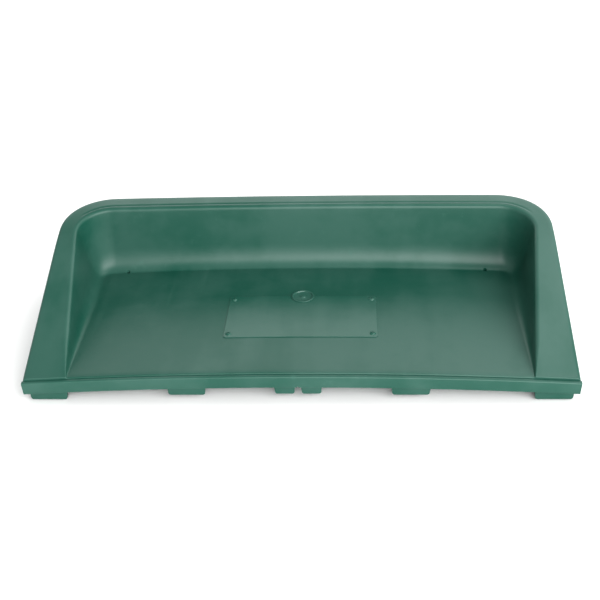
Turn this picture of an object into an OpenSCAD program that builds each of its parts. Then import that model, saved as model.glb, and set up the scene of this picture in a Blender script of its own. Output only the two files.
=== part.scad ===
// End section of a straight slide: a moulded chute tray with three raised walls, a front
// nosing with six hooks behind it, a blank name plate and a round badge.
// Millimetres. X is the width, -Y is the open front, +Z is up, and Z = 0 is the standing plane.

/* [Overall] */
// Overall width over the side skirts
overall_w = 600; // [480:5:760]
// Overall depth from the nosing face to the rear skirt
overall_d = 275; // [225:5:350]
// Height of the floor at the sides above the standing plane
floor_h = 27; // [27:1:40]
// Rise of the rim above the floor at the back
rim_rise = 87; // [60:1:120]
// Rise of the floor in the middle of its width
crown = 9; // [4:0.5:14]
// Rise of the rear rim in the middle of its width
rim_crown = 2.4; // [0:0.2:6]
// Length over which the rim levels out towards the back
rim_level_run = 98; // [60:1:140]
// Slope of the rim at the very back, in degrees
rim_back_slope = 3; // [0:0.5:8]

/* [Moulding] */
// Wall thickness of the moulded shell
shell_t = 4; // [3:0.25:5]
// Width of the side flange at the front
flange_front_w = 48.5; // [40:0.5:60]
// Width of the side flange at the back
flange_side_w = 25; // [18:0.5:32]
// Width of the rear flange
flange_back_w = 30; // [16:0.5:36]
// Lean of the side walls, floor line to rim, at the back
side_lean = 11; // [8:0.5:22]
// Lean of the rear wall, floor line to rim
back_lean = 5; // [3:0.5:20]
// Radius of the outer rear corners
corner_r = 62; // [50:1:75]
// Radius of the inner rear corners along the rim
inner_corner_r = 39; // [30:1:48]
// Radius of the inner rear corners along the floor
base_corner_r = 24; // [20:1:44]
// Rounding of the rim edges
edge_r = 5; // [2:0.5:6]
// Reach of the blend up the walls
blend_reach = 24; // [12:1:30]
// Reach of the blend onto the floor
blend_run = 12; // [8:1:30]
// Draft of the outer skirt, in degrees
skirt_draft = 1.2; // [0:0.1:2]
// Step up from the floor to the flange at the front
flange_step = 1.5; // [1:0.25:3]
// Thickness of the ribs under the floor
rib_t = 3; // [2:0.5:5]
// Depth of the ribs under the floor
rib_drop = 14; // [8:1:18]

/* [Front] */
// Height of the nosing face
nosing_h = 16; // [12:0.5:20]
// Depth of the nosing, front to back
nosing_d = 8; // [7:0.5:10]
// Width of the land in front of the shell's front edge
nosing_land = 5; // [4.5:0.5:6]
// Drop of the land below the floor
land_drop = 1.5; // [1:0.25:2]
// Radius of the nosing's top edge
nosing_edge_r = 2; // [1:0.25:2.5]
// Radius of the nosing's lower end corners
nosing_end_r = 5; // [2:0.5:7]
// Reach of the hooks below the nosing
hook_drop = 11; // [6:0.5:11]
// Thickness of a hook
hook_t = 4; // [3:0.5:4.5]
// Width of the end and middle hooks
hook_w = 42; // [30:1:50]
// Width of the centre hooks
centre_hook_w = 23; // [16:1:30]
// Gap between the two centre hooks
centre_gap = 6; // [5:0.5:12]
// Centre of the middle hooks from the middle of the part
mid_hook_x = 121; // [90:1:150]
// Inset of the end hooks from the side of the part
end_hook_inset = 6; // [6:1:15]

/* [Name plate] */
// Width of the name plate
plate_w = 174; // [130:1:220]
// Depth of the name plate
plate_d = 87; // [60:1:95]
// Front edge of the name plate from the nosing face
plate_y = 73; // [60:1:90]
// Thickness of the name plate
plate_t = 2; // [1.5:0.25:2.5]
// Height that the plate stands above the floor
plate_proud = 0.8; // [0.5:0.1:1.2]
// Radius of the plate's corners
plate_corner_r = 3; // [1:0.5:6]
// Side inset of the plate screws
plate_screw_side = 5.5; // [5:0.5:10]
// Inset of the plate screws from the plate's front and back edges
plate_screw_end = 7; // [5:0.5:12]
// Diameter of the round badge
badge_dia = 27; // [20:1:36]
// Height that the badge stands above the floor
badge_proud = 1.8; // [1.2:0.1:2.5]

/* [Screws and holes] */
// Diameter of the two fixing holes in the floor
fixing_hole_dia = 4.5; // [4:0.1:6.5]
// Distance between the two fixing holes
fixing_hole_span = 448; // [330:1:480]
// Fixing holes from the rear of the part
fixing_hole_back = 47; // [44:1:60]
// Shank diameter of the screws
screw_dia = 3; // [2.5:0.1:4]
// Length of a hook screw under its head
hook_screw_len = 10.8; // [9:0.1:11.5]
// Length of a plate screw under its head
plate_screw_len = 9; // [7:0.5:10]
// Head diameter of the plate screws
plate_screw_head = 7; // [5.5:0.1:8]

/* [Hidden] */

half_w = overall_w / 2;
// Radius of the crowned floor, and the height of its centre of curvature
crown_r = (half_w * half_w + crown * crown) / (2 * crown);
crown_centre_z = floor_h + crown - crown_r;
// Half of the angle that the crowned floor spans
crown_half_angle = asin(half_w / crown_r);
front_y = nosing_land;
fit = 0.15;
shell_green = [0.16, 0.42, 0.35];
trim_green = [0.20, 0.48, 0.41];
screw_grey = [0.62, 0.64, 0.66];

// Heights of the floor and of the rim at a place
function floor_z(x) = crown_centre_z + sqrt(crown_r * crown_r - x * x);
rim_len = overall_d - front_y;
back_slope = tan(rim_back_slope);
rim_slope = (rim_rise - flange_step + back_slope * -rim_level_run / 2) / (rim_len - rim_level_run / 2);
function rim_height(y) = let (s = y - front_y, k = max(0, s - (rim_len - rim_level_run)))
    flange_step + s * rim_slope - (rim_slope - back_slope) * k * k / (2 * rim_level_run);
function rim_z(x, y) = let (q = min(1, (y - front_y) / rim_len), bow = 1 - x * x / (half_w * half_w))
    floor_h + rim_height(y) + bow * (crown * (1 - q) + rim_crown * q);

// A U-shaped outline, front left to front right: side insets at the front and at the back,
// inset at the back, and the radius of its rear corners
side_steps = 8;
corner_steps = 8;
back_steps = 10;
function u_half(front_in, side_in, back_in, r) = let (
        y_end = overall_d - back_in - r,
        inset = function(y) front_in + (side_in - front_in) * (y - front_y) / (y_end - front_y),
        arc_x = half_w - side_in - r)
    concat(
        [for (i = [0:side_steps - 1]) let (y = front_y + (y_end - front_y) * i / side_steps)
            [inset(y) - half_w, y]],
        [for (i = [0:corner_steps]) let (a = 90 * i / corner_steps)
            [-arc_x - r * cos(a), y_end + r * sin(a)]],
        [for (i = [1:back_steps / 2 - 1]) [-arc_x * (1 - 2 * i / back_steps), y_end + r]]);
function u_line(front_in, side_in, back_in, r) = let (
        left = u_half(front_in, side_in, back_in, r), n = len(left))
    concat(left, [[0, overall_d - back_in]], [for (i = [n - 1:-1:0]) [-left[i][0], left[i][1]]]);

draft = tan(skirt_draft);
foot_line = u_line(0, 0, 0, corner_r);
top_line = u_line(draft * floor_h, draft * (floor_h + rim_rise), draft * (floor_h + rim_rise), corner_r);
rim_line = u_line(flange_front_w, flange_side_w, flange_back_w, inner_corner_r);
base_line = u_line(flange_front_w + 1, flange_side_w + side_lean, flange_back_w + back_lean,
    base_corner_r);

function unit(v) = v / norm(v);
function bend(a, b, c, t) = (1 - t) * (1 - t) * a + 2 * t * (1 - t) * b + t * t * c;
function lift(p, z) = [p[0], p[1], z];
// Points of one section through flange, wall and floor, moved t below the top surface
function section(i, t) = let (
        out = top_line[i], rim = rim_line[i], base = base_line[i],
        n = unit(base - out),
        z_rim = rim_z(rim[0], rim[1]) - t, z_out = rim_z(out[0], out[1]) - t,
        z_base = floor_z(base[0]) - t,
        wall = z_rim - z_base,
        e = min(edge_r, 0.3 * wall), e_out = t > 0 ? 0.5 : edge_r,
        reach = min(blend_reach, 0.42 * wall), run = reach * blend_run / blend_reach,
        p_out = lift(out + n * t, z_out), p_rim = lift(rim - n * t, z_rim),
        p_base = lift(base - n * t, z_base),
        n3 = [n[0], n[1], 0], down = unit(p_base - p_rim),
        inner = lift(base + n * (run - t), floor_z(base[0] + n[0] * (run - t)) - t))
    concat(
        [for (k = [0:2]) bend(p_out - [0, 0, e_out], p_out, p_out + n3 * e_out, k / 2)],
        [for (k = [0:2]) bend(p_rim - n3 * e, p_rim, p_rim + down * e, k / 2)],
        [for (k = [0:4]) bend(p_base - down * reach, p_base, inner, k / 4)]);
// Points of the floor, drawn in from the wall towards the middle of the front edge
floor_shares = [0.72, 0.42, 0.16];
function floor_points(p, t) = [for (s = floor_shares) let (x = p[0] * s)
    [x, front_y + (p[1] - front_y) * s, floor_z(x) - t]];
// The skirt's foot rises to the foot of the nosing at the front corners
foot_cut_run = 26;
function foot_z(y) = (floor_h - nosing_h) * max(0, 1 - (y - front_y) / foot_cut_run);
function column(i, t) = let (s = section(i, t), last = s[len(s) - 1])
    concat([lift(foot_line[i] + unit(base_line[i] - top_line[i]) * t, foot_z(foot_line[i][1]))],
        s, floor_points(last, t));

columns = len(foot_line);
rows = len(column(0, 0));
top_grid = [for (i = [0:columns - 1]) each column(i, 0)];
low_grid = [for (i = [0:columns - 1]) each column(i, shell_t)];
low_start = columns * rows;
middle_top = 2 * columns * rows;
middle_low = middle_top + 1;
shell_points = concat(top_grid, low_grid, [[0, front_y, floor_z(0)], [0, front_y, floor_z(0) - shell_t]]);
function at(i, k) = i * rows + k;
last_col = columns - 1;
last_row = rows - 1;
shell_faces = concat(
    [for (i = [0:last_col - 1], k = [0:last_row - 1]) each [
        [at(i, k), at(i + 1, k), at(i, k + 1)],
        [at(i, k + 1), at(i + 1, k), at(i + 1, k + 1)],
        [low_start + at(i, k), low_start + at(i, k + 1), low_start + at(i + 1, k)],
        [low_start + at(i, k + 1), low_start + at(i + 1, k + 1), low_start + at(i + 1, k)]]],
    [for (i = [0:last_col - 1]) each [
        [at(i, last_row), at(i + 1, last_row), middle_top],
        [low_start + at(i, last_row), middle_low, low_start + at(i + 1, last_row)],
        [at(i, 0), low_start + at(i + 1, 0), at(i + 1, 0)],
        [at(i, 0), low_start + at(i, 0), low_start + at(i + 1, 0)]]],
    [for (k = [0:last_row - 1]) each [
        [at(0, k), at(0, k + 1), low_start + at(0, k + 1), low_start + at(0, k)],
        [at(last_col, k + 1), at(last_col, k), low_start + at(last_col, k), low_start + at(last_col, k + 1)]]],
    [[at(0, last_row), middle_top, middle_low, low_start + at(0, last_row)],
        [middle_top, at(last_col, last_row), low_start + at(last_col, last_row), middle_low]]);

// Everything is drawn from the nosing face and moved so that the origin is central
module placed() {
    translate([0, -overall_d / 2, 0]) children();
}

// Sweeps a profile along the crowned floor: X of the profile runs back, Y is up from the floor
module along_crown(half_angle) {
    translate([0, 0, crown_centre_z])
        rotate([90, 0, 0])
            rotate([0, 0, 90 - half_angle])
                rotate_extrude(angle = 2 * half_angle, $fn = 1440)
                    translate([crown_r, 0])
                        rotate(-90)
                            children();
}

// The hooks: name index, centre and width
hook_x = [half_w - end_hook_inset - hook_w / 2, mid_hook_x, centre_gap / 2 + centre_hook_w / 2];
hook_widths = [hook_w, hook_w, centre_hook_w];
hook_y = nosing_d - hook_t;
hook_top = 10;
hook_screw_z = -11;
notch_dia = 2.4;
hook_screw_x = [hook_w * 0.28, hook_w * 0.28, 0];
function hook_z(kind) = floor_z(hook_x[kind]) - nosing_h;

// Fixing, plate and badge places
plate_mid_y = plate_y + plate_d / 2;
plate_screw_x = plate_w / 2 - plate_screw_side;
plate_screw_ys = [plate_y + plate_screw_end, plate_y + plate_d - plate_screw_end];
plate_back_y = plate_y + plate_d;
badge_y = plate_back_y - 1.5;
badge_t = 2.4;
spigot_dia = 6;
spigot_len = 8;
fixing_hole_y = overall_d - fixing_hole_back;
boss_d = 10;
boss_drop = 9;

module plate_body(grow = 0) {
    reach = plate_w / 2 + grow;
    upright_block(plate_y - grow, plate_back_y + grow, floor_line(reach, -plate_proud),
        floor_line(reach, plate_t - plate_proud));
}

module badge_body(grow = 0, h = badge_t) {
    translate([0, badge_y, floor_z(0) + badge_proud - badge_t])
        cylinder(d = badge_dia + 2 * grow, h = h, $fn = 96);
}

module chute_shell() {
    color(shell_green)
        placed()
            difference() {
                union() {
                    polyhedron(points = shell_points, faces = shell_faces, convexity = 8);
                    front_web();
                    floor_ribs();
                    floor_bosses();
                }
                plate_body(fit);
                badge_body(fit, 10);
                shell_holes();
            }
}

// Upright block across the shell between a top line and a foot line, both lists of [x, z]
module upright_block(y0, y1, top, foot) {
    translate([0, y1, 0])
        rotate([90, 0, 0])
            linear_extrude(y1 - y0)
                polygon(concat(top, [for (i = [len(foot) - 1:-1:0]) foot[i]]));
}

// Points along the crowned floor out to a reach on both sides, lowered by a drop
arch_steps = 24;
function floor_line(reach, drop) = [for (i = [0:arch_steps])
    let (x = reach * (2 * i / arch_steps - 1)) [x, floor_z(x) - drop]];

// Upright web behind the nosing, which the hook screws pass through. It rises at its ends to
// meet the flanges.
module front_web() {
    mid_y = nosing_d + shell_t / 2;
    inner = half_w - flange_front_w + shell_t - 0.5;
    outer = half_w - shell_t / 2;
    function end_top(x) = [x, rim_z(x, mid_y) - shell_t / 2];
    upright_block(nosing_d, nosing_d + shell_t,
        concat([end_top(-outer), end_top(-inner)], floor_line(inner, shell_t / 2),
            [end_top(inner), end_top(outer)]),
        floor_line(outer, nosing_h - 1));
}

rib_xs = [-180, -60, 60, 180] * overall_w / 600;
rib_ys = [62, 178] * overall_d / 275;
rib_reach_x = half_w - flange_front_w;
rib_front_y = nosing_d + shell_t + rib_t;
rib_back_y = overall_d - flange_back_w - back_lean;

module floor_ribs() {
    for (x = rib_xs)
        translate([x - rib_t / 2, rib_front_y, floor_z(x) - shell_t - rib_drop])
            cube([rib_t, rib_back_y - rib_front_y, rib_drop + shell_t / 2]);
    for (y = rib_ys)
        upright_block(y - rib_t / 2, y + rib_t / 2, floor_line(rib_reach_x, shell_t / 2),
            floor_line(rib_reach_x, shell_t + rib_drop));
}

// Bosses under the floor for the plate screws, the badge and the fixing holes
module floor_bosses() {
    for (x = [-plate_screw_x, plate_screw_x], y = plate_screw_ys)
        translate([x, y, floor_z(x) - shell_t - boss_drop])
            cylinder(d = boss_d, h = boss_drop + shell_t / 2, $fn = 48);
    translate([0, badge_y, floor_z(0) - shell_t - boss_drop])
        cylinder(d = boss_d + 2, h = boss_drop + shell_t / 2, $fn = 48);
    for (x = [-1, 1] * fixing_hole_span / 2)
        translate([x, fixing_hole_y, floor_z(x) - 2 * shell_t])
            cylinder(d = fixing_hole_dia + 2 * shell_t, h = 1.5 * shell_t, $fn = 48);
}

module shell_holes() {
    for (x = [-1, 1] * fixing_hole_span / 2)
        translate([x, fixing_hole_y, 0])
            cylinder(d = fixing_hole_dia, h = floor_h + rim_rise, $fn = 48);
    for (x = [-plate_screw_x, plate_screw_x], y = plate_screw_ys)
        translate([x, y, floor_z(x) + plate_proud - plate_screw_len - 0.5])
            cylinder(d = screw_dia + 2 * fit, h = plate_screw_len, $fn = 32);
    translate([0, badge_y, floor_z(0) + badge_proud - badge_t - spigot_len - 0.5])
        cylinder(d = spigot_dia + 2 * fit, h = spigot_len + 1, $fn = 48);
    hook_screw_places()
        rotate([90, 0, 0])
            translate([0, 0, -nosing_d - 2 * shell_t])
                cylinder(d = screw_dia + 2 * fit, h = 2 * shell_t + 1, $fn = 32);
}

// Runs its children at each hook screw, on the plane of the nosing face
module hook_screw_places() {
    for (side = [-1, 1], kind = [0:2], s = hook_screw_x[kind] == 0 ? [0] : [-1, 1])
        translate([side * hook_x[kind] + s * hook_screw_x[kind], 0, floor_z(hook_x[kind]) + hook_screw_z])
            children();
}

module front_nosing() {
    color(trim_green)
        placed()
            difference() {
                union() {
                    along_crown(crown_half_angle)
                        nosing_face();
                    along_crown(asin((half_w - shell_t - 2 * fit) / crown_r))
                        square_at(front_y - 1, -nosing_h, nosing_d, -shell_t - fit);
                }
                for (side = [-1, 1], kind = [0:2])
                    hook_place(side, kind)
                        hook_room(kind);
                hook_screw_places()
                    rotate([90, 0, 0])
                        translate([0, 0, -nosing_d - 1])
                            cylinder(d = screw_dia + 2 * fit, h = nosing_d, $fn = 32);
                for (side = [-1, 1])
                    scale([side, 1, 1])
                        nosing_corner();
                translate([0, -1, floor_z(0) - nosing_h])
                    rotate([-90, 0, 0])
                        cylinder(d = notch_dia, h = nosing_d, $fn = 32);
            }
}

// Section of the nosing in front of the shell: a face with a rounded top edge and a land
module nosing_face() {
    r = nosing_edge_r;
    square_at(0, -nosing_h, front_y - fit, -land_drop - r);
    square_at(r, -nosing_h, front_y - fit, -land_drop);
    translate([r, -land_drop - r])
        circle(r, $fn = 48);
}

// Rectangle between two corners
module square_at(x0, y0, x1, y1) {
    translate([x0, y0])
        square([x1 - x0, y1 - y0]);
}

// What is cut away to round a lower end corner of the nosing
module nosing_corner() {
    z0 = floor_z(half_w) - nosing_h;
    translate([half_w - nosing_end_r, -1, z0])
        difference() {
            translate([0, 0, -5])
                cube([2 * nosing_end_r, nosing_d + 2, nosing_end_r + 5]);
            translate([0, 0, nosing_end_r])
                rotate([-90, 0, 0])
                    cylinder(r = nosing_end_r, h = nosing_d + 2, $fn = 64);
        }
}

module hook_place(side, kind) {
    translate([side * hook_x[kind], hook_y, hook_z(kind)])
        children();
}

module hook_room(kind) {
    translate([-hook_widths[kind] / 2 - fit, -fit, -hook_drop])
        cube([hook_widths[kind] + 2 * fit, hook_t + 2, hook_drop + hook_top + fit]);
}

// Outline of a hook: a straight upper part and a tapered tongue with rounded lower corners
hook_taper = 1.2;
hook_corner_r = 2.5;
function hook_outline(w) = let (
        tip = w / 2 - hook_taper, r = hook_corner_r,
        arc = [for (i = [0:6]) let (a = 15 * i) [tip - r + r * sin(a), r - hook_drop - r * cos(a)]])
    concat(arc, [[w / 2, 0], [w / 2, hook_top], [-w / 2, hook_top], [-w / 2, 0]],
        [for (i = [6:-1:0]) [-arc[i][0], arc[i][1]]]);

module hook(side, kind) {
    color(trim_green)
        placed()
            difference() {
                hook_place(side, kind)
                    rotate([90, 0, 0])
                        mirror([0, 0, 1])
                            linear_extrude(hook_t)
                                polygon(hook_outline(hook_widths[kind]));
                hook_screw_places()
                    rotate([90, 0, 0])
                        translate([0, 0, -nosing_d - 1])
                            cylinder(d = screw_dia + 2 * fit, h = nosing_d, $fn = 32);
            }
}

module end_hook_left() { hook(-1, 0); }
module end_hook_right() { hook(1, 0); }
module mid_hook_left() { hook(-1, 1); }
module mid_hook_right() { hook(1, 1); }
module centre_hook_left() { hook(-1, 2); }
module centre_hook_right() { hook(1, 2); }

// Pan-head screws from behind the web, through web and hook into the nosing
module hook_screws() {
    head_y = nosing_d + shell_t;
    color(screw_grey)
        placed()
            hook_screw_places()
                translate([0, head_y, 0])
                    rotate([90, 0, 0]) {
                        cylinder(d = screw_dia, h = hook_screw_len, $fn = 32);
                        translate([0, 0, -2])
                            cylinder(d = 2 * screw_dia, h = 2, $fn = 32);
                    }
}

module name_plate() {
    color(trim_green)
        placed()
            difference() {
                plate_body();
                plate_corners();
                badge_body(fit, 10);
                for (x = [-plate_screw_x, plate_screw_x], y = plate_screw_ys)
                    translate([x, y, floor_h - 5])
                        cylinder(d = screw_dia + 2 * fit, h = crown + 10, $fn = 32);
            }
}

// What is cut away to round the plate's four corners
module plate_corners() {
    r = plate_corner_r;
    for (sx = [-1, 1], sy = [-1, 1])
        translate([sx * (plate_w / 2 - r), plate_mid_y + sy * (plate_d / 2 - r), floor_h - 5])
            difference() {
                translate([sx > 0 ? 0 : -2 * r, sy > 0 ? 0 : -2 * r, 0])
                    cube([2 * r, 2 * r, crown + 10]);
                translate([0, 0, -1])
                    cylinder(r = r, h = crown + 12, $fn = 48);
            }
}

// Low domed screws that hold the name plate
module plate_screws() {
    dome_h = 1.5;
    cap_r = (plate_screw_head * plate_screw_head / 4 + dome_h * dome_h) / (2 * dome_h);
    color(trim_green)
        placed()
            for (x = [-plate_screw_x, plate_screw_x], y = plate_screw_ys)
                translate([x, y, floor_z(x) + plate_proud]) {
                    translate([0, 0, -plate_screw_len])
                        cylinder(d = screw_dia, h = plate_screw_len + 0.3, $fn = 32);
                    intersection() {
                        translate([0, 0, dome_h - cap_r])
                            sphere(cap_r, $fn = 96);
                        cylinder(d = plate_screw_head, h = dome_h, $fn = 64);
                    }
                }
}

// Round badge: a rimmed disc on a spigot that presses into its boss
module round_badge() {
    rim_w = 2;
    color(trim_green)
        placed()
            translate([0, badge_y, floor_z(0) + badge_proud - badge_t])
                difference() {
                    union() {
                        cylinder(d = badge_dia, h = badge_t, $fn = 96);
                        translate([0, 0, -spigot_len])
                            cylinder(d = spigot_dia, h = spigot_len + badge_t / 2, $fn = 48);
                    }
                    translate([0, 0, badge_t - 0.8])
                        cylinder(d = badge_dia - 2 * rim_w, h = 2, $fn = 96);
                }
}

chute_shell();
front_nosing();
end_hook_left();
end_hook_right();
mid_hook_left();
mid_hook_right();
centre_hook_left();
centre_hook_right();
hook_screws();
name_plate();
plate_screws();
round_badge();
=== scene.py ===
from math import asin, cos, degrees, pi, radians, sin, sqrt, tan

import bmesh
import bpy
from mathutils import Matrix, Vector


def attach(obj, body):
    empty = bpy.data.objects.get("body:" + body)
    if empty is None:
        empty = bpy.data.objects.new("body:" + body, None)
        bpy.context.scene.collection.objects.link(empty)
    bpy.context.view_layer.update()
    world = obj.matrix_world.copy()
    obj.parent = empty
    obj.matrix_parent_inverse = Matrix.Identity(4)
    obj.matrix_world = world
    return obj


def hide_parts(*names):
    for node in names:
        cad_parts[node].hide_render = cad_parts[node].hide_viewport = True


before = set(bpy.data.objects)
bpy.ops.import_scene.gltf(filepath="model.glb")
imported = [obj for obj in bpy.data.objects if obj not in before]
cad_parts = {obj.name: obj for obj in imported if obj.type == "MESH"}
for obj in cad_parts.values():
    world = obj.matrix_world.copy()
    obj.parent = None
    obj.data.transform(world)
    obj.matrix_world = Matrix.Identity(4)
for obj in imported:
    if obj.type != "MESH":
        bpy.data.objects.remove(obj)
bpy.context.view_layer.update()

# Sizes of the moulding in millimetres, y from the nosing's face, z from the skirt's foot
WIDTH = 600
DEPTH = 275
FLOOR_H = 27
RIM_RISE = 87
CROWN = 9
RIM_CROWN = 2.4
RIM_LEVEL_RUN = 98
RIM_BACK_SLOPE = 3
SHELL_T = 4
FLANGE_FRONT_W = 48.5
FLANGE_SIDE_W = 25
FLANGE_BACK_W = 30
SIDE_LEAN = 11
BACK_LEAN = 5
FRONT_LEAN = 1
CORNER_R = 62
INNER_CORNER_R = 39
BASE_CORNER_R = 24
EDGE_R = 5
BLEND_REACH = 24
BLEND_RUN = 12
BACK_BLEND_RUN = 13.5
BLEND_CREASE = 5
# The most of a low wall's height that its rounded edge and its blend take up
EDGE_SHARE = 0.3
BLEND_SHARE = 0.42
LEAST_EDGE_R = 0.4
UNDER_EDGE_R = 0.5
SKIRT_DRAFT = 1.2
FLANGE_STEP = 1.5
FRONT_Y = 5
FOOT_CUT_RUN = 26
FRONT_EDGE_R = 1.4
FOOT_EDGE_R = 0.7
GROOVE_DEPTH = 0.55
GROOVE_INSET = 7.2
GROOVE_HALF_W = 1.5

RIB_T = 3
RIB_DROP = 14
RIB_XS = (-180, -60, 60, 180)
RIB_YS = (62, 178)
RIB_BACK_Y = 240
RIB_END_X = 251
RIB_TAPER = 0.4
RIB_FOOT_R = 0.6
WEB_END_X = 298
WEB_FOOT_LIFT = 1
BOSS_DROP = 9
BOSS_TAPER = 0.4
PLATE_BOSS_R = 5
BADGE_BOSS_R = 6

NOSING_H = 16
NOSING_D = 8
LAND_DROP = 1.5
NOSING_EDGE_R = 2
NOSING_END_R = 3.5
HOOK_DROP = 11
HOOK_T = 4
HOOK_TOP = 10
HOOK_TAPER = 1.2
HOOK_CORNER_R = 2.5
HOOKS = (("end_hook", 273, 42), ("mid_hook", 121, 42), ("centre_hook", 14.5, 23))
HOOK_HEEL_R = 1.5
HOOK_EDGE_R = 0.5
NOTCH_R = 1.2

PLATE_W = 174
PLATE_D = 87
PLATE_Y = 73
PLATE_T = 2
PLATE_PROUD = 0.8
PLATE_CORNER_R = 3
PLATE_SCREW_X = 81.5
PLATE_SCREW_YS = (80, 153)
PLATE_SCREW_HEAD = 7
BADGE_Y = 158.5
BADGE_R = 13.5
BADGE_T = 2.4
BADGE_PROUD = 1.8
BADGE_SEAT_GAP = 0.3
BADGE_SEAT_DEPTH = 1.4
# Clearances: between separate pieces, and round the plate in its pocket
FIT = 0.15
SNUG = 0.03
HOLE_X = 224
HOLE_Y = 228
HOLE_R = 2.25
SCREW_R = 1.5
SCREW_TIP = 1.2
HOOK_SCREW_LEN = 10.8
HOOK_SCREW_SPREAD = 0.28
HOOK_SCREW_DROP = 11

HALF_W = WIDTH / 2
CROWN_R = (HALF_W ** 2 + CROWN ** 2) / (2 * CROWN)
CROWN_CENTRE_Z = FLOOR_H + CROWN - CROWN_R
RIM_LEN = DEPTH - FRONT_Y
BACK_SLOPE = tan(radians(RIM_BACK_SLOPE))
RIM_SLOPE = (RIM_RISE - FLANGE_STEP - BACK_SLOPE * RIM_LEVEL_RUN / 2) / (RIM_LEN - RIM_LEVEL_RUN / 2)
DRAFT = tan(radians(SKIRT_DRAFT))

# Steps along the U of the rim
SIDE_STEPS = 26
ARC_STEPS = 18
BACK_STEPS = 48
# Steps round the front edge, and up the skirt and round its top edge
ROLL_STEPS = 4
SKIRT_SHARES = (0, 0.25, 0.5, 0.75)
OUTER_EDGE_STEPS = 6


def floor_z(x):
    return CROWN_CENTRE_Z + sqrt(CROWN_R ** 2 - x * x)


def rim_height(y):
    run = y - FRONT_Y
    level = max(0, run - (RIM_LEN - RIM_LEVEL_RUN))
    return FLANGE_STEP + run * RIM_SLOPE - (RIM_SLOPE - BACK_SLOPE) * level ** 2 / (2 * RIM_LEVEL_RUN)


def rim_z(x, y):
    share = min(1, (y - FRONT_Y) / RIM_LEN)
    bow = 1 - (x / HALF_W) ** 2
    return FLOOR_H + rim_height(y) + bow * (CROWN * (1 - share) + RIM_CROWN * share)


def in_frame(point):
    """A place in millimetres, drawn from the nosing's face, in the frame's metres."""
    return Vector((point[0], point[1] - DEPTH / 2, point[2])) / 1000


def u_line(front_in, side_in, back_in, r):
    """The U round the tray from front left to front right, as x and y."""
    y_end = DEPTH - back_in - r
    arc_x = HALF_W - side_in - r
    left = []
    for i in range(SIDE_STEPS):
        share = i / SIDE_STEPS
        left.append((front_in + (side_in - front_in) * share - HALF_W, FRONT_Y + (y_end - FRONT_Y) * share))
    for i in range(ARC_STEPS + 1):
        turn = pi / 2 * i / ARC_STEPS
        left.append((-arc_x - r * cos(turn), y_end + r * sin(turn)))
    back = [(-arc_x * (1 - 2 * i / BACK_STEPS), y_end + r) for i in range(1, BACK_STEPS)]
    return left + back + [(-x, y) for x, y in reversed(left)]


LAST_COLUMN = 2 * (SIDE_STEPS + ARC_STEPS) + BACK_STEPS
FOOT_LINE = u_line(0, 0, 0, CORNER_R)
TOP_INSET = DRAFT * (FLOOR_H + RIM_RISE)
TOP_LINE = u_line(DRAFT * FLOOR_H, TOP_INSET, TOP_INSET, CORNER_R)
RIM_LINE = u_line(FLANGE_FRONT_W, FLANGE_SIDE_W, FLANGE_BACK_W, INNER_CORNER_R)
BASE_LINE = u_line(FLANGE_FRONT_W + FRONT_LEAN, FLANGE_SIDE_W + SIDE_LEAN, FLANGE_BACK_W + BACK_LEAN,
    BASE_CORNER_R)


def smooth(value):
    value = min(1, max(0, value))
    return value * value * (3 - 2 * value)


def backness(column):
    """0 on the side walls, 1 along the rear wall, rising through the corner."""
    from_end = min(column, LAST_COLUMN - column)
    return smooth((from_end - SIDE_STEPS) / ARC_STEPS)


def bend(a, b, c, steps):
    """Points on the curve from a to c that sets out towards b."""
    shares = [i / steps for i in range(steps + 1)]
    return [(1 - t) ** 2 * a + 2 * t * (1 - t) * b + t * t * c for t in shares]


def between(a, b, shares):
    return [a.lerp(b, share) for share in shares]


def foot_z(y):
    return (FLOOR_H - NOSING_H) * max(0, 1 - (y - FRONT_Y) / FOOT_CUT_RUN)


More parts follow.
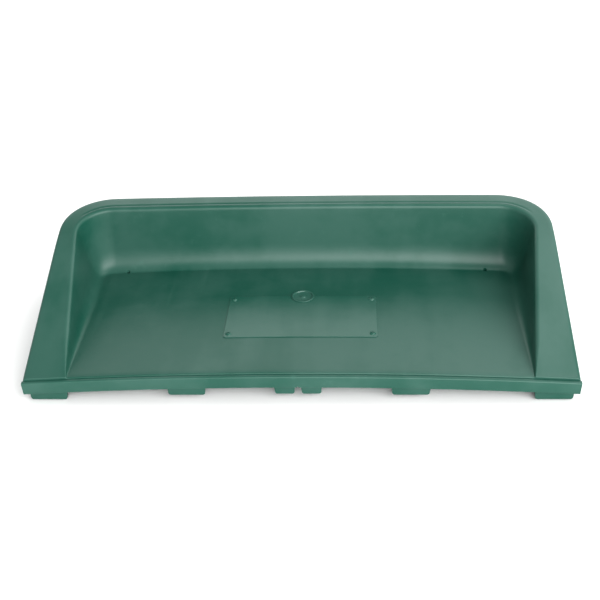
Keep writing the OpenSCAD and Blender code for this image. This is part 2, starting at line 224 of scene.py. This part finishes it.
def section(column, under=0):
    """One slice of the moulding: up the skirt, over the flange, down the wall and onto the floor.
    The underside is the same slice, under the top by the wall's thickness."""
    lines = FOOT_LINE, TOP_LINE, RIM_LINE, BASE_LINE
    foot_xy, out_xy, rim_xy, base_xy = (Vector(line[column]) for line in lines)
    inward = (base_xy - out_xy).normalized()
    wall = rim_z(*rim_xy) - floor_z(base_xy.x)
    edge = min(EDGE_R, EDGE_SHARE * wall)
    outer_edge = UNDER_EDGE_R if under else EDGE_R
    reach = min(BLEND_REACH, BLEND_SHARE * wall)
    back = backness(column)
    run = reach * (BLEND_RUN + (BACK_BLEND_RUN - BLEND_RUN) * back) / BLEND_REACH
    up = Vector((0, 0, 1))

    def lifted(xy, shift, z):
        return Vector((*(xy + inward * shift), z - under))

    foot = Vector((*(foot_xy + inward * under), foot_z(foot_xy.y)))
    out = lifted(out_xy, under, rim_z(*out_xy))
    rim = lifted(rim_xy, -under, rim_z(*rim_xy))
    base = lifted(base_xy, -under, floor_z(base_xy.x))
    flange = (rim - out).normalized()
    down = (base - rim).normalized()
    landing = lifted(base_xy, run - under, floor_z(base_xy.x + inward.x * (run - under)))
    heel = base + up * BLEND_CREASE * back

    skirt_top = out - up * outer_edge
    points = between(foot, skirt_top, SKIRT_SHARES)
    points += bend(skirt_top, out, out + flange * outer_edge, OUTER_EDGE_STEPS)
    flange_start = out + flange * outer_edge
    flange_end = rim - flange * max(edge, LEAST_EDGE_R)
    width = (flange_end - flange_start).length
    groove_at = 1 - (GROOVE_INSET - edge) / width
    depth = 0 if under else GROOVE_DEPTH * smooth(4 * back - 1)
    points += between(flange_start, flange_end, [groove_at * share for share in (0.25, 0.5, 0.75)])
    for step, sink in ((-1, 0), (-0.5, 0.7), (0, 1), (0.5, 0.7), (1, 0)):
        place = flange_start.lerp(flange_end, groove_at + step * GROOVE_HALF_W / width)
        points.append(place - up * depth * sink)
    points += bend(flange_end, rim, rim + down * edge, 7)
    wall_start, wall_end = rim + down * edge, heel - down * reach
    points += between(wall_start, wall_end, (0.2, 0.4, 0.6, 0.8))
    points += bend(wall_end, heel, landing, 12)
    return points


def rolled(point, row, turn, side, under):
    """Carries a point of the first slice round the front edge: turn is 0 on top and 1 on the front face."""
    angle = pi / 2 * turn
    y = FRONT_Y + FRONT_EDGE_R * (1 - sin(angle))
    if under:
        return Vector((point.x, y, point.z))
    sink = FRONT_EDGE_R * (1 - cos(angle))
    lean = pi / 2 * min(1, max(0, (row - len(SKIRT_SHARES)) / OUTER_EDGE_STEPS))
    return Vector((point.x - side * sink * cos(lean), y, point.z - sink * sin(lean)))


def grid_mesh(columns, rows, place, flip=False):
    """A grid of quads whose crossings are placed by column and row."""
    bm = bmesh.new()
    bmesh.ops.create_grid(bm, x_segments=columns, y_segments=rows, size=1)
    for vert in bm.verts:
        column = round((vert.co.x + 1) / 2 * columns)
        row = round((vert.co.y + 1) / 2 * rows)
        vert.co = in_frame(place(column, row))
    if flip:
        bmesh.ops.reverse_faces(bm, faces=bm.faces)
    return bm


def take_in(bm, other):
    """Adds another mesh to this one."""
    carrier = bpy.data.meshes.new("carrier")
    other.to_mesh(carrier)
    other.free()
    bm.from_mesh(carrier)
    bpy.data.meshes.remove(carrier)


def floor_place(edge, under):
    """Places the floor between the wall's landing on three sides and the straight front."""
    half = ARC_STEPS // 2
    side, across = SIDE_STEPS + half, 2 * (ARC_STEPS - half) + BACK_STEPS
    left = edge[:side + 1]
    back = edge[side:side + across + 1]
    right = edge[side + across:][::-1]

    def place(column, row):
        depth = max(0, row - ROLL_STEPS)
        s, t = column / across, depth / side
        share = (back[column].x - back[0].x) / (back[across].x - back[0].x)
        front = left[0].lerp(right[0], share)
        point = (left[depth].lerp(right[depth], s) + front.lerp(back[column], t)
            - left[0].lerp(right[0], s).lerp(back[0].lerp(back[across], s), t))
        point.z = floor_z(point.x) - under
        if row <= ROLL_STEPS:
            return rolled(point, len(edge), 1 - row / ROLL_STEPS, 0, under)
        return point

    return across, side + ROLL_STEPS, place


def skin(under):
    """The top or the underside of the moulding, open along its foot and its front."""
    slices = [section(column, under) for column in range(LAST_COLUMN + 1)]

    def place(column, row):
        past = column - ROLL_STEPS
        near = min(LAST_COLUMN, max(0, past))
        point = slices[near][row]
        if past <= 0:
            return rolled(point, row, -past / ROLL_STEPS, -1, under)
        if past >= LAST_COLUMN:
            return rolled(point, row, (past - LAST_COLUMN) / ROLL_STEPS, 1, under)
        return point

    bm = grid_mesh(LAST_COLUMN + 2 * ROLL_STEPS, len(slices[0]) - 1, place, flip=True)
    across, side, floor = floor_place([points[-1] for points in slices], under)
    take_in(bm, grid_mesh(across, side, floor))
    bmesh.ops.remove_doubles(bm, verts=bm.verts, dist=0.00001)
    if under:
        bmesh.ops.reverse_faces(bm, faces=bm.faces)
    return bm


def new_object(name, bm):
    mesh = bpy.data.meshes.new(name)
    bm.to_mesh(mesh)
    bm.free()
    made = bpy.data.objects.new(name, mesh)
    bpy.context.scene.collection.objects.link(made)
    return made


def new_piece(name, bm, node, smooth_angle=40):
    piece = new_object(name, bm)
    finish_shading(piece, smooth_angle)
    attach(piece, "root")
    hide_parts(node)
    return piece


def finish_shading(piece, smooth_angle):
    """Shades smoothly over every edge that turns by less than the angle."""
    bm = bmesh.new()
    bm.from_mesh(piece.data)
    for face in bm.faces:
        face.smooth = True
    for edge in bm.edges:
        edge.smooth = len(edge.link_faces) < 2 or degrees(edge.calc_face_angle(0)) < smooth_angle
    bm.to_mesh(piece.data)
    bm.free()


def cut(bm, cutters):
    """Cuts closed shapes out of a mesh and gives the mesh back."""
    whole = new_object("uncut", bm)
    tools = [new_object("cutter", cutter) for cutter in cutters]
    for tool in tools:
        modifier = whole.modifiers.new("cut", "BOOLEAN")
        modifier.operation = "DIFFERENCE"
        modifier.solver = "EXACT"
        modifier.object = tool
    bpy.context.view_layer.update()
    result = bmesh.new()
    result.from_object(whole, bpy.context.evaluated_depsgraph_get())
    for obj in (whole, *tools):
        mesh = obj.data
        bpy.data.objects.remove(obj)
        bpy.data.meshes.remove(mesh)
    return result


def round_off(bm, geom, r, segments, affect="EDGES", clamp=False):
    bmesh.ops.bevel(bm, geom=geom, offset=r, segments=segments, profile=0.5, affect=affect, material=-1,
        clamp_overlap=clamp)


def round_bar(r, z0, z1, x, y, segments=48, r_top=None):
    bm = bmesh.new()
    bmesh.ops.create_cone(bm, cap_ends=True, segments=segments, radius1=r / 1000,
        radius2=(r if r_top is None else r_top) / 1000, depth=(z1 - z0) / 1000)
    bmesh.ops.translate(bm, verts=bm.verts, vec=in_frame((x, y, (z0 + z1) / 2)))
    return bm


def crowned_block(x0, x1, y0, y1, z0, z1, steps=1, corner_r=0, edge_r=0, taper=0, foot_r=0):
    """A block that follows the floor's crown: z0 and z1 are measured from the floor.
    Its shorter way across is narrower at the foot by the taper on each side."""
    bm = bmesh.new()
    bmesh.ops.create_cube(bm, size=1)
    narrow = (x1 - x0) < (y1 - y0)
    for vert in bm.verts:
        shrink = taper if vert.co.z < 0 else 0
        vert.co = Vector((
            (x0 + x1) / 2 + vert.co.x * (x1 - x0 - (2 * shrink if narrow else 0)),
            (y0 + y1) / 2 + vert.co.y * (y1 - y0 - (0 if narrow else 2 * shrink)),
            z1 if vert.co.z > 0 else z0))
    if corner_r:
        upright = [e for e in bm.edges if abs(e.verts[0].co.z - e.verts[1].co.z) > 0.1]
        round_off(bm, upright, corner_r, 6)
    for level, r in ((z1, edge_r), (z0, foot_r)):
        if r:
            rim = [e for e in bm.edges if all(abs(v.co.z - level) < 0.01 for v in e.verts)]
            round_off(bm, rim, r, 3)
    for i in range(1, steps):
        bmesh.ops.bisect_plane(bm, geom=[*bm.verts, *bm.edges, *bm.faces], dist=0.0001,
            plane_co=(x0 + (x1 - x0) * i / steps, 0, 0), plane_no=(1, 0, 0))
    for vert in bm.verts:
        vert.co = in_frame((vert.co.x, vert.co.y, vert.co.z + floor_z(vert.co.x)))
    return bm


def tube(r, bore_r, z0, z1, x, y):
    return cut(round_bar(r, z0, z1, x, y), [round_bar(bore_r, z0 - 1, z1 + 1, x, y)])


def boss(x, y, r):
    foot, root = floor_z(x) - SHELL_T - BOSS_DROP, floor_z(x) - SHELL_T / 2
    return round_bar(r - BOSS_TAPER, foot, root, x, y, r_top=r)


def underside_parts():
    """The ribs, the web behind the nosing and the bosses, each a closed shape of its own."""
    foot, root = -SHELL_T - RIB_DROP, -SHELL_T / 2
    for x in RIB_XS:
        yield crowned_block(x - RIB_T / 2, x + RIB_T / 2, NOSING_D + SHELL_T + RIB_T, RIB_BACK_Y, foot, root,
            taper=RIB_TAPER, foot_r=RIB_FOOT_R)
    for y in RIB_YS:
        yield crowned_block(-RIB_END_X, RIB_END_X, y - RIB_T / 2, y + RIB_T / 2, foot, root,
            steps=24, taper=RIB_TAPER, foot_r=RIB_FOOT_R)
    yield crowned_block(-WEB_END_X, WEB_END_X, NOSING_D, NOSING_D + SHELL_T, WEB_FOOT_LIFT - NOSING_H, root,
        steps=32, foot_r=RIB_FOOT_R)
    for x in (-PLATE_SCREW_X, PLATE_SCREW_X):
        for y in PLATE_SCREW_YS:
            yield boss(x, y, PLATE_BOSS_R)
    yield boss(0, BADGE_Y, BADGE_BOSS_R)
    for x in (-HOLE_X, HOLE_X):
        yield tube(HOLE_R + SHELL_T, HOLE_R, floor_z(x) - 2 * SHELL_T, floor_z(x) - SHELL_T / 2, x, HOLE_Y)


def on_foot(vert):
    """Whether a corner lies on the skirt's foot, behind the front edge."""
    y = vert.co.y * 1000 + DEPTH / 2
    return abs(vert.co.z * 1000 - foot_z(y)) < 0.3 and y > FRONT_Y + 1


def chute_moulding():
    bm = skin(0)
    take_in(bm, skin(SHELL_T))
    bmesh.ops.bridge_loops(bm, edges=[e for e in bm.edges if len(e.link_faces) == 1])
    foot_edges = [e for e in bm.edges if degrees(e.calc_face_angle(0)) > 60 and all(map(on_foot, e.verts))]
    round_off(bm, foot_edges, FOOT_EDGE_R / 1000, 2, clamp=True)

    holes = [round_bar(HOLE_R, 10, 60, side * HOLE_X, HOLE_Y, 40) for side in (-1, 1)]
    half_w = PLATE_W / 2 + SNUG
    pocket = crowned_block(-half_w, half_w, PLATE_Y - SNUG, PLATE_Y + PLATE_D + SNUG,
        PLATE_PROUD - PLATE_T, 6, steps=24, corner_r=PLATE_CORNER_R + SNUG)
    seat_z = floor_z(0) - BADGE_SEAT_DEPTH
    badge_seat = round_bar(BADGE_R + BADGE_SEAT_GAP, seat_z, floor_z(0) + 8, 0, BADGE_Y, 96)
    bm = cut(bm, [*holes, pocket, badge_seat])
    for part in underside_parts():
        take_in(bm, part)
    return bm


def outline(corners, place):
    """A flat face from (u, v, corner radius) corners."""
    bm = bmesh.new()
    verts = [bm.verts.new(place(u, v)) for u, v, _ in corners]
    bm.faces.new(verts)
    for vert, (_, _, r) in zip(verts, corners):
        if r:
            round_off(bm, [vert], r / 1000, 6, "VERTICES")
    return bm


def spun(bm, centre, axis, angle, steps):
    """Spins an outline's edges part of the way round an axis and closes the ends."""
    bmesh.ops.delete(bm, geom=bm.faces, context="FACES_ONLY")
    bmesh.ops.spin(bm, geom=[*bm.verts, *bm.edges], cent=centre, axis=axis, angle=angle, steps=steps)
    bmesh.ops.remove_doubles(bm, verts=bm.verts, dist=0.000005)
    bmesh.ops.holes_fill(bm, edges=bm.edges, sides=0)
    bmesh.ops.recalc_face_normals(bm, faces=bm.faces)
    return bm


def turned(profile, x, y, z, steps=40, along=None):
    """A turned piece from (radius, height, corner radius) points, upright or with its head along +Y."""
    def place(r, h):
        return in_frame((x, y + h, z + r)) if along == "y" else in_frame((x + r, y, z + h))
    bm = bmesh.new()
    verts = [bm.verts.new(place(r, h)) for r, h, _ in profile]
    for a, b in zip(verts, verts[1:]):
        bm.edges.new((a, b))
    for vert, (_, _, r) in zip(verts, profile):
        if r:
            round_off(bm, [vert], r / 1000, 4, "VERTICES")
    axis = (0, 1, 0) if along == "y" else (0, 0, 1)
    bmesh.ops.spin(bm, geom=[*bm.verts, *bm.edges], cent=in_frame((x, y, z)), axis=axis, angle=2 * pi,
        steps=steps, use_merge=True)
    bmesh.ops.remove_doubles(bm, verts=bm.verts, dist=0.000005)
    bmesh.ops.recalc_face_normals(bm, faces=bm.faces)
    return bm


def plain_box(x0, x1, y0, y1, z0, z1):
    bm = bmesh.new()
    bmesh.ops.create_cube(bm, size=1)
    for vert in bm.verts:
        x, y, z = (high if at > 0 else low for at, low, high in zip(vert.co, (x0, y0, z0), (x1, y1, z1)))
        vert.co = in_frame((x, y, z))
    return bm


def hook_foot(x):
    return floor_z(x) - NOSING_H


def nosing_strip():
    """The strip in front of the shell: a face with a round top edge, and a step behind it under the floor."""
    centre = Vector((0, 0, CROWN_CENTRE_Z / 1000))

    def swept(corners, reach, end_r):
        half = asin(reach / CROWN_R)
        bm = outline(corners, lambda y, z: in_frame((0, y, floor_z(0) + z)))
        bmesh.ops.rotate(bm, verts=bm.verts, cent=centre, matrix=Matrix.Rotation(-half, 3, "Y"))
        bm = spun(bm, centre, (0, 1, 0), 2 * half, 72)
        if end_r:
            end_edges = [e for e in bm.edges if all(abs(v.co.x) > (reach - 2) / 1000 for v in e.verts)
                and all(v.co.z * 1000 < floor_z(reach) - NOSING_H + 1 for v in e.verts)
                and abs(e.verts[0].co.y - e.verts[1].co.y) > 0.003]
            round_off(bm, end_edges, end_r / 1000, 6)
        return bm

    face = swept(((0, -NOSING_H, 0.6), (0, -LAND_DROP, NOSING_EDGE_R), (FRONT_Y - FIT, -LAND_DROP, 0.3),
        (FRONT_Y - FIT, -NOSING_H, 0)), HALF_W - 0.05, NOSING_END_R)
    step_top = -SHELL_T - FIT
    step = swept(((FRONT_Y - 1, -NOSING_H, 0), (FRONT_Y - 1, step_top, 0), (NOSING_D, step_top, 0.3),
        (NOSING_D, -NOSING_H, 0.4)), HALF_W - SHELL_T - 2 * FIT, 0)
    rooms = []
    for _, x, width in HOOKS:
        foot = hook_foot(x)
        for side in (-1, 1):
            rooms.append(plain_box(side * x - width / 2 - FIT, side * x + width / 2 + FIT,
                NOSING_D - HOOK_T - FIT, NOSING_D + 2, foot - HOOK_DROP, foot + HOOK_TOP + FIT))
    step = cut(step, rooms)
    take_in(step, cut(face, [notch()]))
    return step


def notch():
    """The cutter of the half-round notch in the middle of the nosing's foot."""
    profile = ((0, -2, 0), (NOTCH_R, -2, 0), (NOTCH_R, 10, 0), (0, 10, 0))
    return turned(profile, 0, 0, hook_foot(0), 24, "y")


def hook(x, width):
    foot = hook_foot(abs(x))
    tip = width / 2 - HOOK_TAPER
    bm = outline(((width / 2, HOOK_TOP, 0), (width / 2, 0, HOOK_HEEL_R), (tip, -HOOK_DROP, HOOK_CORNER_R),
        (-tip, -HOOK_DROP, HOOK_CORNER_R), (-width / 2, 0, HOOK_HEEL_R), (-width / 2, HOOK_TOP, 0)),
        lambda u, v: in_frame((x + u, NOSING_D, foot + v)))
    grown = bmesh.ops.extrude_face_region(bm, geom=bm.faces[:])
    bmesh.ops.translate(bm, verts=[v for v in grown["geom"] if isinstance(v, bmesh.types.BMVert)],
        vec=(0, -HOOK_T / 1000, 0))
    bmesh.ops.recalc_face_normals(bm, faces=bm.faces)
    sharp = [e for e in bm.edges if len(e.link_faces) == 2 and degrees(e.calc_face_angle(0)) > 50]
    round_off(bm, sharp, HOOK_EDGE_R / 1000, 3)
    return bm


def cross_slots(x, y, z, reach, width, sink, along=None):
    """Two crossed cutters for a driver's recess in a head whose top is at z, or at y for one along +Y."""
    if along == "y":
        return [plain_box(x - reach, x + reach, y - sink, y + 2, z - width / 2, z + width / 2),
            plain_box(x - width / 2, x + width / 2, y - sink, y + 2, z - reach, z + reach)]
    return [plain_box(x - reach, x + reach, y - width / 2, y + width / 2, z - sink, z + 2),
        plain_box(x - width / 2, x + width / 2, y - reach, y + reach, z - sink, z + 2)]


def plate_screw(x, y):
    z = floor_z(x) + PLATE_PROUD
    r = PLATE_SCREW_HEAD / 2
    bm = turned(((0, 1.5, 0), (1.3, 1.42, 0.3), (2.5, 1.0, 0.5), (3.2, 0.5, 0.3), (r, 0, 0.1), (r, -0.2, 0),
        (SCREW_R, -0.2, 0), (SCREW_R, -8.4, 0), (0, -9, 0)), x, y, z)
    return cut(bm, cross_slots(x, y, z + 1.5, 1.9, 0.8, 0.7))


def plate_screws():
    return together(plate_screw(x, y) for x in (-PLATE_SCREW_X, PLATE_SCREW_X) for y in PLATE_SCREW_YS)


def hook_screw(x, z):
    y = NOSING_D + SHELL_T
    bm = turned(((0, 2, 0), (1.8, 1.95, 0.5), (3, 1.2, 0.6), (3, 0.02, 0), (SCREW_R, 0.02, 0),
        (SCREW_R, SCREW_TIP - HOOK_SCREW_LEN, 0), (0, -HOOK_SCREW_LEN, 0)), x, y, z, 32, "y")
    return cut(bm, cross_slots(x, y + 2, z, 1.7, 0.7, 1.0, "y"))


def together(parts):
    bm = bmesh.new()
    for part in parts:
        take_in(bm, part)
    return bm


def name_plate():
    bm = crowned_block(-PLATE_W / 2, PLATE_W / 2, PLATE_Y, PLATE_Y + PLATE_D,
        PLATE_PROUD - PLATE_T, PLATE_PROUD, steps=28, corner_r=PLATE_CORNER_R, edge_r=0.35)
    return cut(bm, [round_bar(BADGE_R + FIT, floor_z(0) - 6, floor_z(0) + 6, 0, BADGE_Y, 96)])


def round_badge():
    z = floor_z(0) + BADGE_PROUD - BADGE_T
    r = BADGE_R
    profile = ((0, 2.1, 0), (2.4, 2.05, 0.6), (3.6, 1.0, 0.4), (r - 2.5, 1.0, 0.3), (r - 2.0, BADGE_T, 0.4),
        (r, BADGE_T, 0.5), (r, 0, 0.2), (3, 0, 0), (3, -7.6, 0.4), (0, -8, 0))
    return turned(profile, 0, BADGE_Y, z, 72)


def hook_screw_places():
    for name, x, width in HOOKS:
        spread = HOOK_SCREW_SPREAD * width
        offsets = (0,) if name == "centre_hook" else (-spread, spread)
        for side in (-1, 1):
            for offset in offsets:
                yield side * x + offset, floor_z(x) - HOOK_SCREW_DROP


def hook_screws():
    return together(hook_screw(x, z) for x, z in hook_screw_places())


# The green pieces by finish, and the steel ones
greens = {
    "shell": [new_piece("chute_moulding", chute_moulding(), "chute_shell")],
    "trim": [new_piece("nosing_strip", nosing_strip(), "front_nosing")],
    "plate": [new_piece("blank_plate", name_plate(), "name_plate", 8)],
    "screw": [new_piece("plate_screw_heads", plate_screws(), "plate_screws")],
    "badge": [new_piece("badge_disc", round_badge(), "round_badge")],
}
for name, x, width in HOOKS:
    for side, word in ((-1, "left"), (1, "right")):
        node = f"{name}_{word}"
        greens["trim"].append(new_piece(f"{node}_tab", hook(side * x, width), node))
steel = new_piece("web_screws", hook_screws(), "hook_screws")


class Signal:
    """A socket's output that can be reckoned with like a number."""

    def __init__(self, surface, socket):
        self.surface, self.socket = surface, socket

    def _maths(self, operation, a, b):
        return self.surface.node("ShaderNodeMath", {"operation": operation}, {0: a, 1: b})

    def __add__(self, other):
        return self._maths("ADD", self, other)

    def __radd__(self, other):
        return self._maths("ADD", other, self)

    def __mul__(self, other):
        return self._maths("MULTIPLY", self, other)

    def __rmul__(self, other):
        return self._maths("MULTIPLY", other, self)


class Surface:
    """A material with one shader, and the one method that adds its nodes."""

    def __init__(self, name):
        self.material = bpy.data.materials.new(name)
        self.material.use_nodes = True
        self.tree = self.material.node_tree
        self.shader = self.tree.nodes["Principled BSDF"]
        self.place = self.node("ShaderNodeTexCoord", {}, {}, "Object")

    def node(self, kind, settings, inputs, output=0):
        made = self.tree.nodes.new(kind)
        for key, value in settings.items():
            setattr(made, key, value)
        for key, value in inputs.items():
            self.feed(made.inputs[key], value)
        return Signal(self, made.outputs[output])

    def feed(self, socket, value):
        if isinstance(value, Signal):
            self.tree.links.new(value.socket, socket)
        else:
            socket.default_value = value

    def noise(self, scale, detail=3, stretch=(1, 1, 1), seed=0, roughness=0.5):
        place = self.node("ShaderNodeMapping", {},
            {"Vector": self.place, "Location": (seed, seed * 0.7, -seed), "Scale": stretch})
        return self.node("ShaderNodeTexNoise", {},
            {"Vector": place, "Scale": scale, "Detail": detail, "Roughness": roughness})

    def ramp(self, signal, low, high, to_low=0, to_high=1):
        return self.node("ShaderNodeMapRange", {"interpolation_type": "SMOOTHSTEP"},
            {"Value": signal, "From Min": low, "From Max": high, "To Min": to_low, "To Max": to_high})

    def mix(self, share, a, b):
        return self.node("ShaderNodeMix", {"data_type": "RGBA"}, {0: share, 6: a, 7: b}, 2)

    def bump(self, height, distance, strength=1, normal=None):
        inputs = {"Height": height, "Distance": distance, "Strength": strength}
        if normal:
            inputs["Normal"] = normal
        return self.node("ShaderNodeBump", {}, inputs)

    def dress(self, *pieces):
        for piece in pieces:
            piece.data.materials.clear()
            piece.data.materials.append(self.material)


# Linear colours of the pigment where it is thick, where it is thin, and where it is scuffed
DEEP_GREEN = (0.005, 0.065, 0.044)
GREY_GREEN = (0.021, 0.083, 0.062)
PALE_GREEN = (0.060, 0.150, 0.118)


def moulded_green(name, seed=0, roughness=0.42, tone=1.0, grain=1.0):
    """Green polyethylene: cloudy pigment, flow lines, faint scuffs and a fine moulded grain."""
    s = Surface(name)
    clouds = s.noise(7, 4, seed=seed, roughness=0.6)
    flow = s.noise(30, 3, stretch=(1, 0.18, 1), seed=seed + 2)
    specks = s.noise(420, 2, seed=seed + 5)
    scuffs = s.ramp(s.noise(60, 5, stretch=(1, 0.05, 1), seed=seed + 9, roughness=0.65), 0.6, 0.78)
    pigments = DEEP_GREEN, GREY_GREEN, PALE_GREEN
    deep, grey, pale = ((*(part * tone for part in colour), 1) for colour in pigments)
    pigment = s.mix(s.ramp(clouds * 0.7 + flow * 0.3, 0.4, 0.6), deep, grey)
    pigment = s.mix(s.ramp(specks, 0.68, 0.8, 0, 0.18), pigment, pale)
    s.feed(s.shader.inputs["Base Color"], s.mix(scuffs * 0.22, pigment, pale))
    s.feed(s.shader.inputs["Roughness"], clouds * 0.1 + scuffs * 0.14 + (specks * 0.06 + (roughness - 0.08)))
    s.shader.inputs["IOR"].default_value = 1.5
    waves = s.bump(s.noise(26, 2, seed=seed + 3), 0.0007, 0.5)
    fine_grain = s.noise(1500, 2, seed=seed + 7) + scuffs * 0.3
    s.feed(s.shader.inputs["Normal"], s.bump(fine_grain, 0.00006, 0.55 * grain, waves))
    return s


moulded_green("moulded_shell").dress(*greens["shell"])
moulded_green("moulded_trim", 11, tone=1.04).dress(*greens["trim"])
moulded_green("moulded_plate", 23, 0.34, 1.06, 0.7).dress(*greens["plate"])
moulded_green("moulded_screws", 31, 0.32, 1.1, 0.5).dress(*greens["screw"])
moulded_green("moulded_badge", 37, 0.3, 1.02, 0.5).dress(*greens["badge"])


def zinc_steel():
    s = Surface("zinc_screws")
    spangle = s.noise(900, 3)
    tarnish = s.ramp(s.noise(220, 4, seed=3), 0.45, 0.7)
    s.feed(s.shader.inputs["Base Color"], s.mix(tarnish, (0.62, 0.63, 0.64, 1), (0.36, 0.36, 0.34, 1)))
    s.shader.inputs["Metallic"].default_value = 1
    s.feed(s.shader.inputs["Roughness"], spangle * 0.2 + tarnish * 0.15 + 0.22)
    s.feed(s.shader.inputs["Normal"], s.bump(spangle, 0.00003, 0.6))
    return s


zinc_steel().dress(steel)


def ground():
    """A wide floor, a hair below the skirt's foot."""
    bm = bmesh.new()
    bmesh.ops.create_grid(bm, x_segments=1, y_segments=1, size=6)
    bmesh.ops.translate(bm, verts=bm.verts, vec=(0, 0, -0.0002))
    return bm


def studio_paper():
    s = Surface("studio_paper")
    s.feed(s.shader.inputs["Base Color"], s.mix(s.noise(3, 2), (0.86, 0.86, 0.855, 1), (0.9, 0.9, 0.9, 1)))
    s.shader.inputs["Roughness"].default_value = 0.8
    return s


studio_floor = new_object("studio_floor", ground())
studio_paper().dress(studio_floor)

# Camera: its turn and tilt, its distance in millimetres, and the place it looks at
VIEW_YAW = radians(-3.5)
VIEW_DOWN = radians(31.85)
VIEW_ROLL = radians(-2.15)
VIEW_DISTANCE = 1206
VIEW_TARGET = (-4.2, 166.4, FLOOR_H)
LENS = 60
SENSOR_W = 36

forward = Vector((sin(VIEW_YAW) * cos(VIEW_DOWN), cos(VIEW_YAW) * cos(VIEW_DOWN), -sin(VIEW_DOWN)))
level = Vector((cos(VIEW_YAW), -sin(VIEW_YAW), 0))
upward = level.cross(forward)
right = level * cos(VIEW_ROLL) + upward * sin(VIEW_ROLL)
up = upward * cos(VIEW_ROLL) - level * sin(VIEW_ROLL)
camera_data = bpy.data.cameras.new("camera")
camera_data.lens = LENS
camera_data.sensor_width = SENSOR_W
camera = bpy.data.objects.new("camera", camera_data)
bpy.context.scene.collection.objects.link(camera)
turn = Matrix((right, up, -forward)).transposed().to_4x4()
camera.matrix_world = Matrix.Translation(in_frame(VIEW_TARGET) - forward * VIEW_DISTANCE / 1000) @ turn
bpy.context.scene.camera = camera

WORLD_LIGHT = 0.6
# Each soft light: its name, place, aim, width, height and power
LIGHTS = (
    ("backdrop", (0.35, 1.9, 0.9), (0.15, 0, 0.35), 3.6, 1.5, 27),
    ("front", (1.9, -3.5, 1.9), (0, 0.1, 0.05), 7, 3.4, 370),
    ("overhead", (0.75, 0.35, 1.5), (0.15, 0, 0.05), 0.8, 1.2, 8),
)

world = bpy.data.worlds.new("studio")
bpy.context.scene.world = world
world.use_nodes = True
background = world.node_tree.nodes["Background"]
background.inputs["Color"].default_value = (1, 1, 1, 1)
background.inputs["Strength"].default_value = WORLD_LIGHT


def soft_light(name, place, aim, width, height, power):
    data = bpy.data.lights.new(name, "AREA")
    data.shape = "RECTANGLE"
    data.size, data.size_y = width, height
    data.energy = power
    lamp = bpy.data.objects.new(name, data)
    bpy.context.scene.collection.objects.link(lamp)
    place, aim = Vector(place), Vector(aim)
    facing = (aim - place).to_track_quat("-Z", "Y").to_matrix().to_4x4()
    lamp.matrix_world = Matrix.Translation(place) @ facing


for light in LIGHTS:
    soft_light(*light)
bpy.context.scene.view_settings.view_transform = "Standard"
bpy.context.scene.view_settings.look = "Medium High Contrast"
